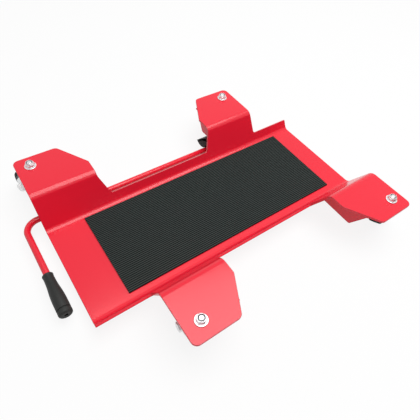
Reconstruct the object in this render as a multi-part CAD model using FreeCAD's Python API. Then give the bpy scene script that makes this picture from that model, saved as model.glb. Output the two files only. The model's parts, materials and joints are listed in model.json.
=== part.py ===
import FreeCAD, Part
import math
import os

from FreeCAD import Vector

# Motorcycle mover dolly, in millimetres. The floor is z = 0, +X runs along the deck away from the lever,
# +Y points to the rear, where the brake shaft lies. Pieces are drawn about the middle of the deck and are
# moved at the end, so that the origin is under the middle of the whole dolly.

# Pressed deck sheet
deck_length = 500.0
deck_width = 173.2      # flat floor of the deck, between the lower bend lines
sheet = 4.0
deck_clearance = 17.8   # floor to the underside of the deck
wall_run = 30.7         # sideways run of a sloping wall
bend_inside = 10.0
flange_rise = 15.4      # height of the low flanges between the tabs

# Caster tabs
tab_width = 103.5       # the two tabs at the deck's ends
inset_tab_width = 99.0  # the two tabs set back
tab_length = 82.3       # upper bend line to outer edge
tab_inset = 82.5        # setback of two of the four tabs from the deck's end
tip_width = 70.5        # outer edge, where the slanting side ends
waist_length = 27.3     # upper bend line to the start of the slanting side
flank_flare = 12.0       # widening of a tab towards the flange
flare_blend = 20.0
tip_corner = 9.0
waist_corner = 7.0
root_fillet = 5.0
bolt_from_side = 22.4   # straight side to bolt, on the tabs at the deck's ends
inset_bolt_from_side = 25.1
rear_inset_bolt_from_side = 22.2
bolt_from_edge = 24.0
rear_bolt_from_edge = 21.6

# Gusset plates under the tabs
gusset_thickness = 4.0
gusset_inset = 78.5         # straight side of the tab to the middle of the plate
gusset_heel_reach = 40.0    # upper bend line to the lower corner
gusset_tip_reach = 62.0     # upper bend line to the outer end of the weld on the tab
gusset_drop = 0.8           # fall of the lower edge from the wall to the lower corner
gusset_corner = 5.0
cope = 3.0                  # relief beyond the bend at the inner corner

# Rubber mat
mat_left_margin = 59.4  # deck end to mat end
mat_right_margin = 42.0
mat_rear_margin = 1.1   # side of the mat to the start of the bend
mat_front_margin = 7.9
mat_base = 2.2
rib_count = 47
rib_height = 0.8
rib_top_share = 0.46    # flat top of a rib, as a share of the pitch
rib_foot_share = 0.74

# Brake shaft and lever
shaft_diameter = 10.0
shaft_rise = 0.3        # shaft axis above the deck top
shaft_setback = 29.6    # shaft axis behind the lower bend line
lever_reach = 24.5      # lever axis beyond the deck's left end
lever_bend = 22.0
lever_arm = 172.4       # shaft axis to the end of the grip
grip_length = 70.0
grip_diameter = 20.0
grip_neck_wall = 2.5
grip_neck_length = 16.0
grip_flare_length = 22.0
grip_groove = 1.2
grip_groove_width = 2.0
grip_groove_from_end = 7.5
grip_groove_round = 0.4
grip_blend = 30.0
grip_round = 3.5
grip_mouth_round = 1.5
grip_end_wall = 8.0
grip_end_hole = 5.0
grip_end_hole_depth = 3.0
grip_end_hole_round = 0.8

# Brake arms and shoes
foot_rest_angle = 50.0  # arm above the level at rest
arm_thickness = 6.0
arm_width = 14.0
arm_hub_radius = 8.5
arm_in_shoe = 6.5       # sole to arm end
shoe_width = 18.0
shoe_radius = 16.7
shoe_corner = 4.0
shoe_from_gusset = 3.0  # gusset to the nearest face of the shoe

# Shaft brackets
bracket_thickness = 5.0
bracket_ear = 10.0
bracket_ear_share = 0.9     # rounding of the ear's lower corner, as a share of its reach
bracket_top_share = 0.72
bracket_weld = 21.0     # height of the weld on the wall
bracket_foot_round = 3.0
left_bracket_from_end = 8.0
right_bracket_from_gusset = 10.0
shaft_washer_diameter = 18.0
shaft_washer_thickness = 2.0
pin_diameter = 2.5
pin_eye = 6.0
pin_from_washer = 3.0
shaft_beyond_pin = 6.0

# Caster nuts and washers
stem_diameter = 8.0
nut_flats = 13.0
nut_height = 6.5
nut_crown_share = 0.97      # flat end face, as a share of the width across flats
nut_chamfer_angle = 30.0
washer_diameter = 18.0
washer_thickness = 1.6
stem_above_nut = 0.8
stem_chamfer = 1.0

# Casters
swivel_offset = 22.0
wheel_diameter = 50.0
wheel_width = 22.0
tyre_depth = 6.5
tyre_shoulder = 3.5
hub_boss_stand = 1.5    # boss end beyond the side of the wheel
hub_boss_wall = 4.0
hub_web = 9.0
hub_rim = 3.0
cup_diameter = 42.0
cup_sheet = 2.5
cup_rim_depth = 6.5
cup_edge_round = 2.0
cup_inner_round = 1.0
ball_diameter = 5.0
ball_count = 10
ball_from_edge = 2.0    # balls to the edge of the fork's crown
fork_sheet = 2.5
fork_bend = 3.0
fork_top_length = 30.0
fork_eye_radius = 9.5
fork_eye_share = 0.9        # rounding of the eye's lower corners, as a share of its radius
fork_heel_share = 0.45
king_head_diameter = 16.0
king_head_height = 4.0
king_head_share = 0.6
axle_diameter = 8.0
axle_flats = 13.0
axle_head_height = 5.3
axle_nut_height = 6.5
axle_past_nut = 1.5
sleeve_diameter = 12.0

# Way each caster trails as the dolly stands, in degrees from the rear towards the left
CASTER_HEADINGS = {"rear_left": 22.0, "rear_right": -8.0, "front_left": -5.0, "front_right": -60.0}

# Turn of each caster nut, in degrees
NUT_TURNS = {"rear_left": 0.0, "rear_right": 0.0, "front_left": 30.0, "front_right": 0.0}

# Clearances
slip_fit = 0.05         # radial, between pieces that do not turn on each other
running_fit = 0.1       # radial, between pieces that do
hole_room = 0.5         # radial, in plain bolt holes
ball_room = 0.15        # above and below each ball
king_room = 0.3         # under the fork web
wheel_room = 2.9        # top of the tyre to the level of the king pin's head
hub_side_room = 0.5     # boss to fork leg
race_room = 1.0         # fork crown to the rim of the cup
gusset_room = 2.7       # shaft to the gusset's lower edge, at the wall
washer_room = 0.5       # washer to bracket
hub_relief = 0.25       # shoe to the hub of its arm
margin = 6.0            # how far a cutting solid runs past a piece
same_place = 0.01       # points nearer than this are one point
no_length = 1e-6

# Heights and places worked out from the sizes
axle_z = wheel_diameter / 2
king_head_bottom = wheel_diameter + wheel_room
web_bottom = king_head_bottom + king_head_height + king_room
web_top = web_bottom + fork_sheet
crown_top = web_top + fork_sheet
cup_bottom = crown_top + ball_diameter + 2 * ball_room
tab_under = cup_bottom + cup_sheet
tab_top = tab_under + sheet
deck_top = deck_clearance + sheet
wall_rise = tab_top - deck_top
wall_angle = math.atan2(wall_rise, wall_run)
wall_length = math.hypot(wall_rise, wall_run)
low_bend_y = deck_width / 2
high_bend_y = low_bend_y + wall_run
tab_edge_y = high_bend_y + tab_length
half_length = deck_length / 2
bend_shift = sheet * math.tan(wall_angle / 2)
bend_outside = bend_inside + sheet
bolt_rows = {1: tab_edge_y - rear_bolt_from_edge, -1: bolt_from_edge - tab_edge_y}
shaft_y = low_bend_y + shaft_setback
shaft_z = deck_top + shaft_rise
lever_x = -half_length - lever_reach
grip_end_y = shaft_y - lever_arm
race_diameter = cup_diameter - 2 * (cup_sheet + race_room)
ball_circle = race_diameter - ball_diameter - 2 * ball_from_edge
hub_length = wheel_width + 2 * hub_boss_stand
leg_gap = hub_length + 2 * hub_side_room
leg_outside = leg_gap / 2 + fork_sheet
rim_radius = wheel_diameter / 2 - tyre_depth
left_bracket_x = -half_length + left_bracket_from_end
right_gusset_x = half_length - tab_inset - gusset_inset
right_bracket_x = right_gusset_x + gusset_thickness / 2 + right_bracket_from_gusset
shaft_washer_x = right_bracket_x + bracket_thickness + washer_room
pin_x = shaft_washer_x + shaft_washer_thickness + pin_from_washer
shaft_end_x = pin_x + shaft_beyond_pin

# Each tab: the side of the deck, its straight side along X, the way to its slanting side, its width, and
# the bolt's distance from the straight side
TABS = {
    "rear_left": (1, -half_length, 1, tab_width, bolt_from_side),
    "rear_right": (1, half_length - tab_inset, -1, inset_tab_width, rear_inset_bolt_from_side),
    "front_left": (-1, -half_length + tab_inset, 1, inset_tab_width, inset_bolt_from_side),
    "front_right": (-1, half_length, -1, tab_width, bolt_from_side),
}


def bolt_place(tab):
    """Swivel axis of the caster under a tab."""
    side, straight_x, inward, width, bolt_inset = TABS[tab]
    return Vector(straight_x + inward * bolt_inset, bolt_rows[side], 0)


def wall_line(along, out):
    """Point of the rear wall, measured up its slope and out from its top face, as (y, z)."""
    y = low_bend_y + along * math.cos(wall_angle) + out * math.sin(wall_angle)
    z = deck_top + along * math.sin(wall_angle) - out * math.cos(wall_angle)
    return y, z


def wall_back(height):
    """Point of the rear wall's outer face at a height above the deck top, as (y, z)."""
    along = (height + sheet * math.cos(wall_angle)) / math.sin(wall_angle)
    return wall_line(along, sheet)


def rounded_face(points, radii, to_space):
    """Flat face whose corners are rounded by arcs. to_space turns a flat point into a Vector."""
    flat = [Vector(u, v, 0) for u, v in points]
    count = len(flat)
    starts, middles, ends = [], [], []
    for index, corner in enumerate(flat):
        back = (flat[index - 1] - corner).normalize()
        ahead = (flat[(index + 1) % count] - corner).normalize()
        half = back.getAngle(ahead) / 2
        radius = radii[index]
        cut = radius / math.tan(half)
        starts.append(corner + back * cut)
        ends.append(corner + ahead * cut)
        if radius > 0:
            middle_way = (back + ahead).normalize()
            middles.append(corner + middle_way * (radius / math.sin(half) - radius))
        else:
            middles.append(corner)
    edges = []
    for index in range(count):
        if radii[index] > 0:
            arc = [to_space(p.x, p.y) for p in (starts[index], middles[index], ends[index])]
            edges.append(Part.Arc(*arc).toShape())
        follow = (index + 1) % count
        if (starts[follow] - ends[index]).Length > no_length:
            line = [to_space(p.x, p.y) for p in (ends[index], starts[follow])]
            edges.append(Part.LineSegment(*line).toShape())
    return Part.Face(Part.Wire(edges))


def plate_along_x(points, radii, x_start, thickness):
    """Plate drawn in the Y and Z plane and given its thickness along X."""
    face = rounded_face(points, radii, lambda y, z: Vector(x_start, y, z))
    return face.extrude(Vector(thickness, 0, 0))


def turned_on_z(points, radii):
    """Ring or disc turned about the Z axis from its outline of (radius, z)."""
    face = rounded_face(points, radii, lambda r, z: Vector(r, 0, z))
    return face.revolve(Vector(0, 0, 0), Vector(0, 0, 1), 360)


def turned_on_x(points, radii):
    """Ring or disc turned about the X axis from its outline of (x, radius)."""
    face = rounded_face(points, radii, lambda x, r: Vector(x, 0, r))
    return face.revolve(Vector(0, 0, 0), Vector(1, 0, 0), 360)


def hexagon(flats, height):
    """Hexagonal prism on the Z axis, its upper corners turned off."""
    radius = flats / math.sqrt(3)
    angles = [corner * math.pi / 3 for corner in range(7)]
    corners = [Vector(math.cos(angle), math.sin(angle), 0) * radius for angle in angles]
    prism = Part.Face(Part.makePolygon(corners)).extrude(Vector(0, 0, height))
    crown = flats / 2 * nut_crown_share
    drop = (flats - crown) * math.tan(math.radians(nut_chamfer_angle))
    outline = [(0, 0), (flats, 0), (flats, height - drop), (crown, height), (0, height)]
    return prism.common(turned_on_z(outline, [0] * len(outline)))


def half_turn(shape):
    """Copy turned half a turn about the deck's middle."""
    copy = shape.copy()
    copy.rotate(Vector(0, 0, 0), Vector(0, 0, 1), 180)
    return copy


def on_side(shape, side):
    """Piece drawn for the rear, kept there or turned to the front."""
    return shape if side > 0 else half_turn(shape)


def bent_sheet():
    """The whole bent section, at the full length of the deck."""
    top = [(-tab_edge_y, tab_top), (-high_bend_y, tab_top), (-low_bend_y, deck_top),
           (low_bend_y, deck_top), (high_bend_y, tab_top), (tab_edge_y, tab_top)]
    top_radii = [0, bend_outside, bend_inside, bend_inside, bend_outside, 0]
    high_under_y = high_bend_y + bend_shift
    low_under_y = low_bend_y + bend_shift
    under = [(tab_edge_y, tab_under), (high_under_y, tab_under), (low_under_y, deck_clearance),
             (-low_under_y, deck_clearance), (-high_under_y, tab_under), (-tab_edge_y, tab_under)]
    under_radii = [0, bend_inside, bend_outside, bend_outside, bend_inside, 0]
    return plate_along_x(top + under, top_radii + under_radii, -half_length, deck_length)


def wall_cutter(points, radii):
    """Solid that cuts a shape, drawn on the rear wall as (x, up the slope), square through the sheet."""
    reach = tab_edge_y + margin - low_bend_y
    start = -margin
    deep = reach * math.sin(wall_angle) + 2 * margin

    def to_space(x, along):
        y, z = wall_line(along, start)
        return Vector(x, y, z)

    out = Vector(0, math.sin(wall_angle), -math.cos(wall_angle))
    return rounded_face(points, radii, to_space).extrude(out * deep)


def rear_notches():
    """The sheet taken away above the rear flange: between the two tabs, and beside the inset tab."""
    low = flange_rise / math.sin(wall_angle)
    neck = wall_length - bend_outside * math.tan(wall_angle / 2)
    high = wall_length + tab_length + margin
    left = -half_length + tab_width
    right = half_length - tab_inset - inset_tab_width
    between = [(left + flank_flare, low), (right - flank_flare, low), (right, neck),
               (right, high), (left, high), (left, neck)]
    radii = [root_fillet, root_fillet, flare_blend, 0, 0, flare_blend]
    beside = [(half_length - tab_inset, low), (half_length + margin, low),
              (half_length + margin, high), (half_length - tab_inset, high)]
    return [wall_cutter(between, radii), wall_cutter(beside, [root_fillet, 0, 0, 0])]


def slanting_cut(tab):
    """Prism that takes the slanting side off a tab."""
    side, straight_x, inward, width, bolt_inset = TABS[tab]
    waist = Vector(straight_x + inward * width, side * (high_bend_y + waist_length), 0)
    tip = Vector(straight_x + inward * tip_width, side * tab_edge_y, 0)
    way = (tip - waist).normalize()
    outward = Vector(inward * abs(way.y), side * abs(way.x), 0) * width
    first = waist - way * margin
    last = tip + way * margin
    base = Vector(0, 0, tab_under - margin)
    corners = [first + base, last + base, last + outward + base, first + outward + base, first + base]
    return Part.Face(Part.makePolygon(corners)).extrude(Vector(0, 0, sheet + 2 * margin))


def upright_edges(shape, places):
    """Upright edges of the sheet that stand at the given (x, y) places."""
    found = []
    for edge in shape.Edges:
        ends = [vertex.Point for vertex in edge.Vertexes]
        if len(ends) != 2 or abs(ends[0].z - ends[1].z) < sheet / 2:
            continue
        for x, y in places:
            if all(math.hypot(end.x - x, end.y - y) < same_place for end in ends):
                found.append(edge)
    return found


def deck_plate():
    """One bent sheet: deck, walls, low flanges and four tabs with their stem holes."""
    plate = bent_sheet()
    for cutter in rear_notches():
        plate = plate.cut([cutter, half_turn(cutter)])
    plate = plate.cut([slanting_cut(tab) for tab in TABS])
    tips, waists = [], []
    for side, straight_x, inward, width, bolt_inset in TABS.values():
        tips.append((straight_x, side * tab_edge_y))
        tips.append((straight_x + inward * tip_width, side * tab_edge_y))
        waists.append((straight_x + inward * width, side * (high_bend_y + waist_length)))
    plate = plate.makeFillet(tip_corner, upright_edges(plate, tips))
    plate = plate.makeFillet(waist_corner, upright_edges(plate, waists))
    hole_radius = stem_diameter / 2 + hole_room
    below = Vector(0, 0, tab_under - margin)
    holes = [Part.makeCylinder(hole_radius, sheet + 2 * margin, bolt_place(tab) + below) for tab in TABS]
    return plate.cut(holes)


def gusset(tab):
    """Upright plate in the angle between the wall and the tab."""
    side, straight_x, inward, width, bolt_inset = TABS[tab]
    middle = (straight_x + inward * gusset_inset) * side
    relief = bend_inside * math.tan(wall_angle / 2) + cope
    inner_corner = high_bend_y + bend_shift
    toe_height = shaft_rise + shaft_diameter / 2 + gusset_room
    outline = [
        wall_back(toe_height),
        (high_bend_y + gusset_heel_reach, deck_top + toe_height - gusset_drop),
        (high_bend_y + gusset_tip_reach, tab_under),
        (inner_corner + relief, tab_under),
        (inner_corner - relief * math.cos(wall_angle), tab_under - relief * math.sin(wall_angle)),
    ]
    radii = [0, gusset_corner, 0, 0, 0]
    plate = plate_along_x(outline, radii, middle - gusset_thickness / 2, gusset_thickness)
    return on_side(plate, side)


def rubber_mat():
    """Mat with straight ribs along the deck, its outline a loop over the ribs."""
    bend_start = low_bend_y - bend_inside * math.tan(wall_angle / 2)
    front = mat_front_margin - bend_start
    rear = bend_start - mat_rear_margin
    pitch = (rear - front) / rib_count
    top_half = pitch * rib_top_share / 2
    foot_half = pitch * rib_foot_share / 2
    base_z = deck_top + mat_base
    rib_z = base_z + rib_height
    outline = [(rear, deck_top), (front, deck_top), (front, base_z)]
    for rib in range(rib_count):
        middle = front + (2 * rib + 1) * pitch / 2
        outline += [(middle - foot_half, base_z), (middle - top_half, rib_z),
                    (middle + top_half, rib_z), (middle + foot_half, base_z)]
    outline.append((rear, base_z))
    length = deck_length - mat_left_margin - mat_right_margin
    return plate_along_x(outline, [0] * len(outline), mat_left_margin - half_length, length)


def shaft_bar(radius, start_x, length):
    """Round bar on the brake shaft's axis."""
    return Part.makeCylinder(radius, length, Vector(start_x, shaft_y, shaft_z), Vector(1, 0, 0))


def shaft_bracket(x_start):
    """Plate welded to the wall's outer face, with an ear round the shaft."""
    low = wall_back(shaft_rise + bracket_foot_round)
    high = wall_back(shaft_rise + bracket_foot_round + bracket_weld)
    outline = [
        low,
        (shaft_y - bracket_ear, shaft_z - bracket_ear),
        (shaft_y + bracket_ear, shaft_z - bracket_ear),
        (shaft_y + bracket_ear, shaft_z + bracket_ear),
        high,
    ]
    radii = [0, bracket_foot_round, bracket_ear * bracket_ear_share, bracket_ear * bracket_top_share, 0]
    plate = plate_along_x(outline, radii, x_start, bracket_thickness)
    bore = shaft_bar(shaft_diameter / 2 + running_fit, x_start - margin, bracket_thickness + 2 * margin)
    return plate.cut(bore)


def brake_shaft():
    """Round bar along the rear of the deck, bent forward at the left end into the lever arm."""
    grip_seat_y = grip_end_y + grip_end_wall
    turn = lever_bend * (1 - math.sqrt(0.5))
    start = Vector(shaft_end_x, shaft_y, shaft_z)
    bend_start = Vector(lever_x + lever_bend, shaft_y, shaft_z)
    bend_middle = Vector(lever_x + turn, shaft_y - turn, shaft_z)
    bend_end = Vector(lever_x, shaft_y - lever_bend, shaft_z)
    end = Vector(lever_x, grip_seat_y, shaft_z)
    path = Part.Wire([
        Part.LineSegment(start, bend_start).toShape(),
        Part.Arc(bend_start, bend_middle, bend_end).toShape(),
        Part.LineSegment(bend_end, end).toShape(),
    ])
    ring = Part.Wire(Part.makeCircle(shaft_diameter / 2, start, Vector(-1, 0, 0)))
    bar = path.makePipeShell([ring], True, False)
    pin_hole = Part.makeCylinder(pin_diameter / 2 + slip_fit, shaft_diameter + 2 * margin,
                                 Vector(pin_x, shaft_y, shaft_z - shaft_diameter / 2 - margin))
    return bar.cut(pin_hole)


def lever_grip():
    """Moulded grip: slim neck, swelling body, ring groove and round end, open to the lever arm."""
    body = grip_diameter / 2
    neck = shaft_diameter / 2 + grip_neck_wall
    bore = shaft_diameter / 2 + slip_fit
    flare_start = grip_length - grip_neck_length
    groove_far = grip_groove_from_end + grip_groove_width
    hole = grip_end_hole / 2
    outline = [
        (0, grip_end_hole_depth), (hole, grip_end_hole_depth), (hole, 0), (body, 0),
        (body, grip_groove_from_end), (body - grip_groove, grip_groove_from_end),
        (body - grip_groove, groove_far), (body, groove_far),
        (body, flare_start - grip_flare_length), (neck, flare_start), (neck, grip_length),
        (bore, grip_length), (bore, grip_end_wall), (0, grip_end_wall),
    ]
    radii = [0, 0, grip_end_hole_round, grip_round, grip_groove_round, 0, 0, grip_groove_round,
             grip_blend, grip_blend, grip_mouth_round, 0, 0, 0]
    grip = turned_on_z(outline, radii)
    grip.rotate(Vector(0, 0, 0), Vector(1, 0, 0), -90)
    grip.translate(Vector(lever_x, grip_end_y, shaft_z))
    return grip


def swung_to_rest(shape):
    """Arm or shoe drawn level about the shaft, raised to its rest angle."""
    shape.rotate(Vector(0, 0, 0), Vector(1, 0, 0), foot_rest_angle)
    shape.translate(Vector(0, shaft_y, shaft_z))
    return shape


def brake_arm(x_middle):
    """Flat arm with a hub round the shaft."""
    x_start = x_middle - arm_thickness / 2
    along = Vector(1, 0, 0)
    end = shaft_z - arm_in_shoe
    bar = Part.makeBox(arm_thickness, end, arm_width, Vector(x_start, 0, -arm_width / 2))
    hub = Part.makeCylinder(arm_hub_radius, arm_thickness, Vector(x_start, 0, 0), along)
    bore = Part.makeCylinder(shaft_diameter / 2 + slip_fit, arm_thickness + 2 * margin,
                             Vector(x_start - margin, 0, 0), along)
    return swung_to_rest(hub.fuse(bar).cut(bore).removeSplitter())


def brake_shoe(x_middle):
    """Half-round rubber block on an arm. Its sole is flat on the floor when the arm points down."""
    x_start = x_middle - shoe_width / 2
    sole = shaft_z
    roll = Part.makeCylinder(shoe_radius, shoe_width, Vector(x_start, sole, 0), Vector(1, 0, 0))
    keep_corner = Vector(x_start, sole - shoe_radius, -shoe_radius)
    block = roll.common(Part.makeBox(shoe_width, shoe_radius, 2 * shoe_radius, keep_corner))
    corners = []
    for edge in block.Edges:
        ends = [vertex.Point for vertex in edge.Vertexes]
        if len(ends) == 2 and abs(ends[0].x - ends[1].x) > shoe_width / 2:
            if all(abs(abs(end.z) - shoe_radius) < same_place for end in ends):
                corners.append(edge)
    block = block.makeFillet(shoe_corner, corners)
    slot = Part.makeBox(arm_thickness, sole - arm_in_shoe, arm_width,
                        Vector(x_middle - arm_thickness / 2, 0, -arm_width / 2))
    round_hub = Part.makeCylinder(arm_hub_radius + hub_relief, shoe_width,
                                  Vector(x_start, 0, 0), Vector(1, 0, 0))
    return swung_to_rest(block.cut([slot, round_hub]))


def shaft_washer():
    """Washer between the right bracket and the split pin."""
    disc = shaft_bar(shaft_washer_diameter / 2, shaft_washer_x, shaft_washer_thickness)
    return disc.cut(shaft_bar(shaft_diameter / 2 + slip_fit, shaft_washer_x - margin, 3 * margin))


def split_pin():
    """Pin through the shaft, with a round eye above it that stands across the shaft."""
    below = shaft_diameter / 2 + pin_diameter
    above = shaft_diameter / 2 + pin_eye / 2
    leg = Part.makeCylinder(pin_diameter / 2, below + above, Vector(pin_x, shaft_y, shaft_z - below))
    eye_middle = Vector(pin_x, shaft_y, shaft_z + above + pin_eye / 2)
    eye = Part.makeTorus(pin_eye / 2, pin_diameter / 2, eye_middle, Vector(1, 0, 0))
    return leg.fuse(eye).removeSplitter()


def caster_nut(tab):
    """Nut of a caster stem, on its washer."""
    nut = hexagon(nut_flats, nut_height)
    nut = nut.cut(Part.makeCylinder(stem_diameter / 2 + slip_fit, nut_height + margin))
    nut.rotate(Vector(0, 0, 0), Vector(0, 0, 1), NUT_TURNS[tab])
    nut.translate(bolt_place(tab) + Vector(0, 0, tab_top + washer_thickness))
    return nut


def caster_washer(tab):
    """Plain washer on a tab."""
    washer = Part.makeCylinder(washer_diameter / 2, washer_thickness)
    washer = washer.cut(Part.makeCylinder(stem_diameter / 2 + hole_room, washer_thickness + margin))
    washer.translate(bolt_place(tab) + Vector(0, 0, tab_top))
    return washer


def stem():
    """King pin with a threaded upper end and a riveted head under the fork."""
    radius = stem_diameter / 2
    top = tab_top + washer_thickness + nut_height + stem_above_nut
    head = king_head_diameter / 2
    head_top = king_head_bottom + king_head_height
    outline = [
        (0, king_head_bottom), (head, king_head_bottom), (head, head_top), (radius, head_top),
        (radius, top - stem_chamfer), (radius - stem_chamfer, top), (0, top),
    ]
    return turned_on_z(outline, [0, king_head_height * king_head_share, 0, 0, 0, 0, 0])


def top_cup():
    """Pressed upper race: a disc with its rim turned down."""
    bore = stem_diameter / 2 + slip_fit
    rim = cup_diameter / 2
    rim_bottom = cup_bottom - cup_rim_depth
    outline = [
        (bore, cup_bottom), (rim - cup_sheet, cup_bottom), (rim - cup_sheet, rim_bottom),
        (rim, rim_bottom), (rim, tab_under), (bore, tab_under),
    ]
    return turned_on_z(outline, [0, cup_inner_round, 0, 0, cup_edge_round, 0])


def race_balls():
    """Ring of loose balls between the cup and the fork's crown."""
    balls = []
    for index in range(ball_count):
        angle = 2 * math.pi * index / ball_count
        centre = Vector(math.cos(angle), math.sin(angle), 0) * (ball_circle / 2)
        centre.z = crown_top + ball_room + ball_diameter / 2
        balls.append(Part.makeSphere(ball_diameter / 2, centre))
    return Part.makeCompound(balls)


def fork():
    """Swivel fork: round crown, rounded shoulders and two legs down to the axle, trailing to +Y."""
    low = axle_z - 2 * fork_eye_radius
    inner = leg_gap / 2
    shoulder = fork_bend + fork_sheet
    section = [
        (-leg_outside, low), (-inner, low), (-inner, web_bottom), (inner, web_bottom), (inner, low),
        (leg_outside, low), (leg_outside, web_top), (-leg_outside, web_top),
    ]
    face = rounded_face(section, [0, 0, fork_bend, fork_bend, 0, 0, shoulder, shoulder],
                        lambda x, z: Vector(x, -2 * cup_diameter, z))
    legs = face.extrude(Vector(0, 4 * cup_diameter, 0))
    half_top = fork_top_length / 2
    leg_top = web_bottom - fork_sheet
    eye = fork_eye_radius
    side = [
        (-half_top, web_top), (-half_top, leg_top), (swivel_offset - eye, axle_z - eye),
        (swivel_offset + eye, axle_z - eye), (swivel_offset + eye, axle_z + eye), (half_top, leg_top),
        (half_top, web_top),
    ]
    eye_round = eye * fork_eye_share
    radii = [0, fork_bend, eye_round, eye_round, eye * fork_heel_share, fork_bend, 0]
    outline = plate_along_x(side, radii, -2 * leg_outside, 4 * leg_outside)
    crown = Part.makeCylinder(race_diameter / 2, fork_sheet, Vector(0, 0, web_top))
    body = legs.common(outline).fuse(crown).removeSplitter()
    king_bore = Part.makeCylinder(stem_diameter / 2 + running_fit, tab_under)
    axle_bore = Part.makeCylinder(axle_diameter / 2 + slip_fit, 4 * leg_outside,
                                  Vector(-2 * leg_outside, swivel_offset, axle_z), Vector(1, 0, 0))
    return body.cut([king_bore, axle_bore])


def on_axle(shape):
    """Piece drawn about the X axis, moved to the axle."""
    shape.translate(Vector(0, swivel_offset, axle_z))
    return shape


def axle_bolt():
    """Hexagon bolt through both legs, its head on the left."""
    head = hexagon(axle_flats, axle_head_height)
    head.rotate(Vector(0, 0, 0), Vector(0, 1, 0), -90)
    head.translate(Vector(-leg_outside, 0, 0))
    length = 2 * leg_outside + axle_nut_height + axle_past_nut
    shank = Part.makeCylinder(axle_diameter / 2, length, Vector(-leg_outside, 0, 0), Vector(1, 0, 0))
    return on_axle(head.fuse(shank).removeSplitter())


def axle_nut():
    """Nut on the right end of the axle bolt."""
    nut = hexagon(axle_flats, axle_nut_height)
    nut = nut.cut(Part.makeCylinder(axle_diameter / 2 + slip_fit, axle_nut_height + margin))
    nut.rotate(Vector(0, 0, 0), Vector(0, 1, 0), 90)
    nut.translate(Vector(leg_outside, 0, 0))
    return on_axle(nut)


def axle_sleeve():
    """Steel sleeve clamped between the legs, on which the wheel turns."""
    bore = axle_diameter / 2 + slip_fit
    half = leg_gap / 2
    outline = [(-half, bore), (half, bore), (half, sleeve_diameter / 2), (-half, sleeve_diameter / 2)]
    return on_axle(turned_on_x(outline, [0, 0, 0, 0]))


def wheel_hub():
    """Moulded wheel centre: boss, web and rim, turning on the sleeve."""
    bore = sleeve_diameter / 2 + running_fit
    boss = sleeve_diameter / 2 + hub_boss_wall
    under_rim = rim_radius - hub_rim
    boss_half = hub_length / 2
    rim_half = wheel_width / 2
    web_half = hub_web / 2
    outline = [
        (-boss_half, bore), (boss_half, bore), (boss_half, boss), (web_half, boss), (web_half, under_rim),
        (rim_half, under_rim), (rim_half, rim_radius), (-rim_half, rim_radius), (-rim_half, under_rim),
        (-web_half, under_rim), (-web_half, boss), (-boss_half, boss),
    ]
    return on_axle(turned_on_x(outline, [0] * len(outline)))


def wheel_tyre():
    """Rubber tread ring with rounded shoulders."""
    inside = rim_radius + slip_fit
    outside = wheel_diameter / 2
    half = wheel_width / 2
    outline = [(-half, inside), (half, inside), (half, outside), (-half, outside)]
    return on_axle(turned_on_x(outline, [0, 0, tyre_shoulder, tyre_shoulder]))


CASTER_PIECES = {
    "stem": stem, "top_cup": top_cup, "race_balls": race_balls, "fork": fork, "axle_bolt": axle_bolt,
    "axle_nut": axle_nut, "axle_sleeve": axle_sleeve, "wheel_hub": wheel_hub, "wheel_tyre": wheel_tyre,
}


def all_pieces():
    """Every node of the dolly, by name."""
    shoe_from_plate = gusset_thickness / 2 + shoe_from_gusset + shoe_width / 2
    right_shoe_x = right_gusset_x - shoe_from_plate
    left_shoe_x = -half_length + gusset_inset + shoe_from_plate
    pieces = {
        "deck_plate": deck_plate(),
        "rubber_mat": rubber_mat(),
        "shaft_bracket_left": shaft_bracket(left_bracket_x),
        "shaft_bracket_right": shaft_bracket(right_bracket_x),
        "brake_shaft": brake_shaft(),
        "lever_grip": lever_grip(),
        "brake_arm_left": brake_arm(left_shoe_x),
        "brake_arm_right": brake_arm(right_shoe_x),
        "brake_shoe_left": brake_shoe(left_shoe_x),
        "brake_shoe_right": brake_shoe(right_shoe_x),
        "shaft_washer": shaft_washer(),
        "split_pin": split_pin(),
        "caster_nuts": Part.makeCompound([caster_nut(tab) for tab in TABS]),
        "caster_washers": Part.makeCompound([caster_washer(tab) for tab in TABS]),
    }
    for tab in TABS:
        pieces["gusset_" + tab] = gusset(tab)
        for name, make in CASTER_PIECES.items():
            piece = make()
            piece.rotate(Vector(0, 0, 0), Vector(0, 0, 1), CASTER_HEADINGS[tab])
            piece.translate(bolt_place(tab))
            pieces[name + "_" + tab] = piece
    return pieces


os.makedirs("parts", exist_ok=True)
nodes = all_pieces()
whole = Part.makeCompound(list(nodes.values())).optimalBoundingBox(False)
origin = Vector(whole.Center.x, whole.Center.y, 0)
for node, shape in nodes.items():
    shape.translate(-origin)
    shape.exportStep("parts/" + node + ".step")
    state = "valid" if shape.isValid() else "NOT VALID"
    print(node, len(shape.Solids), "solids", round(shape.Volume), "mm3", state)
print("whole", [round(v, 3) for v in (whole.XLength, whole.YLength, whole.ZLength, whole.ZMin)])
print("deck middle", [round(v, 4) for v in (-origin.x, -origin.y)], "deck top", round(deck_top, 3))
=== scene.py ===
# %% [markdown]
# # Motorcycle mover dolly
# A low steel deck with a ribbed rubber mat carries the stand of a motorcycle. Four swivel casters sit under
# tabs that are bent up from the deck, and a bar with a grip swings two rubber feet down as a parking brake.
# The CAD model gives every size and every joint. This lesson loads it as a fixed frame, models the pieces
# again with the edges, threads and welds of the real ones, and gives each its finish.

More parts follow.
